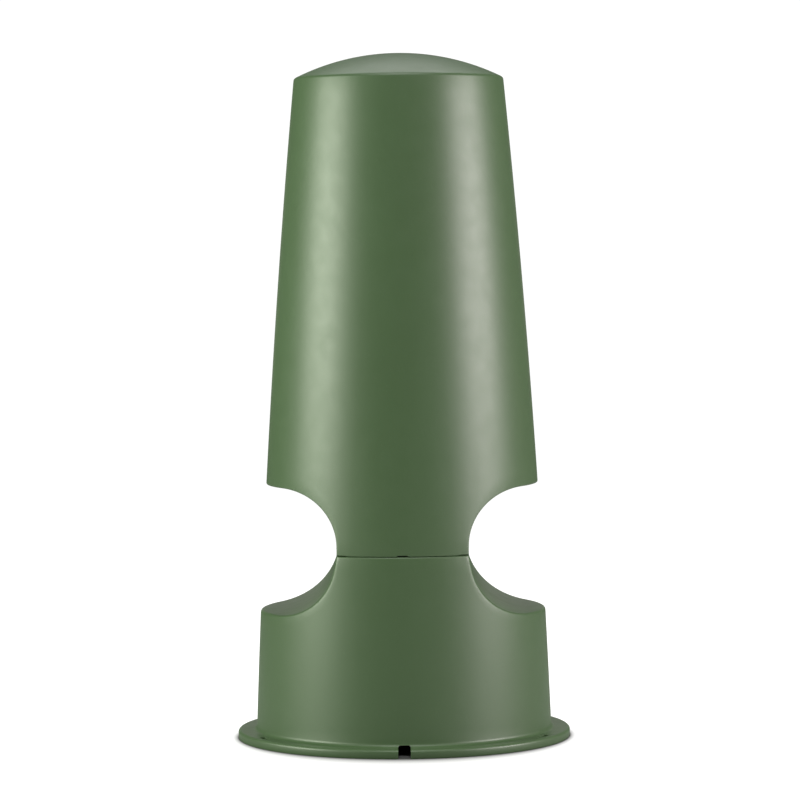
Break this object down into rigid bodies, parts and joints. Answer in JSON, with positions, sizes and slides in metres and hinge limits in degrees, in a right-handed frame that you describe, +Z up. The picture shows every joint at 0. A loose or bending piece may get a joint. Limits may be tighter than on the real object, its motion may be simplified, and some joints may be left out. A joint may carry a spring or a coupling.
{
  "type": "outdoor subwoofer",
  "caption": "Tapered green garden subwoofer on a flanged base, with a round sound notch through each side at the waist and a down-firing woofer inside.",
  "frame": {"origin": "on the ground at the middle of the base", "axes": "+Z up the housing's centre line, -Y out through the cable slot, +X out through the right notch"},
  "size_m": [0.3416, 0.3412, 0.7],
  "materials": {
    "housing_green": "satin moulded polyethylene",
    "black_plastic": "moulded, matt",
    "powder_coated_steel": "fine powder coat",
    "stainless": "bright",
    "zinc_plated": "zinc plated",
    "ferrite": "ground ceramic",
    "cone_poly": "satin polypropylene",
    "rubber": "matt",
    "foam": "closed cell foam",
    "spider_cloth": "resin dipped cloth",
    "copper": "enamelled copper",
    "aluminium": "foil",
    "core_steel": "varnished laminations",
    "coil_tape": "polyester tape",
    "board": "solder mask",
    "capacitor_sleeve": "shrink sleeve",
    "terminal_green": "moulded",
    "wadding": "loose polyester"
  },
  "bodies": {
    "housing": {"upper_housing": "housing_green", "base_housing": "housing_green", "grille_left": "powder_coated_steel", "grille_right": "powder_coated_steel", "baffle": "black_plastic", "baffle_seal": "rubber", "woofer_frame": "black_plastic", "woofer_gasket": "foam", "trim_ring": "rubber", "surround": "rubber", "spider": "spider_cloth", "top_plate": "zinc_plated", "magnet": "ferrite", "yoke": "zinc_plated", "terminal_strip": "board", "tinsel_lead_left": "copper", "tinsel_lead_right": "copper", "input_case": "black_plastic", "case_gasket": "foam", "transformer_core": "core_steel", "transformer_coil": "coil_tape", "crossover_board": "board", "inductor": "copper", "capacitor": "capacitor_sleeve", "input_terminals": "terminal_green", "tap_switch": "black_plastic", "cover_hinge_pin": "stainless", "case_gland": "black_plastic", "deck_grommet": "rubber", "baffle_gland": "black_plastic", "cable_conduit": "black_plastic", "driver_lead": "rubber", "damping_lining": "wadding", "tie_screw_front_left": "stainless", "tie_screw_front_right": "stainless", "tie_screw_rear_left": "stainless", "tie_screw_rear_right": "stainless", "baffle_screw_front_left": "stainless", "baffle_screw_front_right": "stainless", "baffle_screw_rear_left": "stainless", "baffle_screw_rear_right": "stainless", "grille_screw_front_left": "stainless", "grille_screw_front_right": "stainless", "grille_screw_rear_left": "stainless", "grille_screw_rear_right": "stainless", "woofer_screw_front_left": "stainless", "woofer_screw_front_right": "stainless", "woofer_screw_rear_left": "stainless", "woofer_screw_rear_right": "stainless", "case_screw_front_left": "stainless", "case_screw_front_right": "stainless", "case_screw_rear_left": "stainless", "case_screw_rear_right": "stainless"},
    "cone_assembly": {"cone": "cone_poly", "dust_cap": "cone_poly", "coil_former": "aluminium", "coil_winding": "copper"},
    "selector_knob": {"tap_knob": "black_plastic"},
    "pocket_cover": {"terminal_cover": "black_plastic"}
  },
  "joints": [
    {"name": "cone_travel", "type": "slide", "parent": "housing", "child": "cone_assembly", "axis": [0, 0, 1], "range_m": [-0.008, 0.008], "stiffness_N_per_m": 2000, "deforming": ["surround", "spider", "tinsel_lead_left", "tinsel_lead_right"]},
    {"name": "tap_select", "type": "hinge", "parent": "housing", "child": "selector_knob", "pos_m": [0.032, 0.028, 0.118], "axis": [0, 0, 1], "range_deg": [-60, 60]},
    {"name": "cover_hinge", "type": "hinge", "parent": "housing", "child": "pocket_cover", "pos_m": [0, -0.01, 0.1185], "axis": [1, 0, 0], "range_deg": [0, 105]}
  ]
}
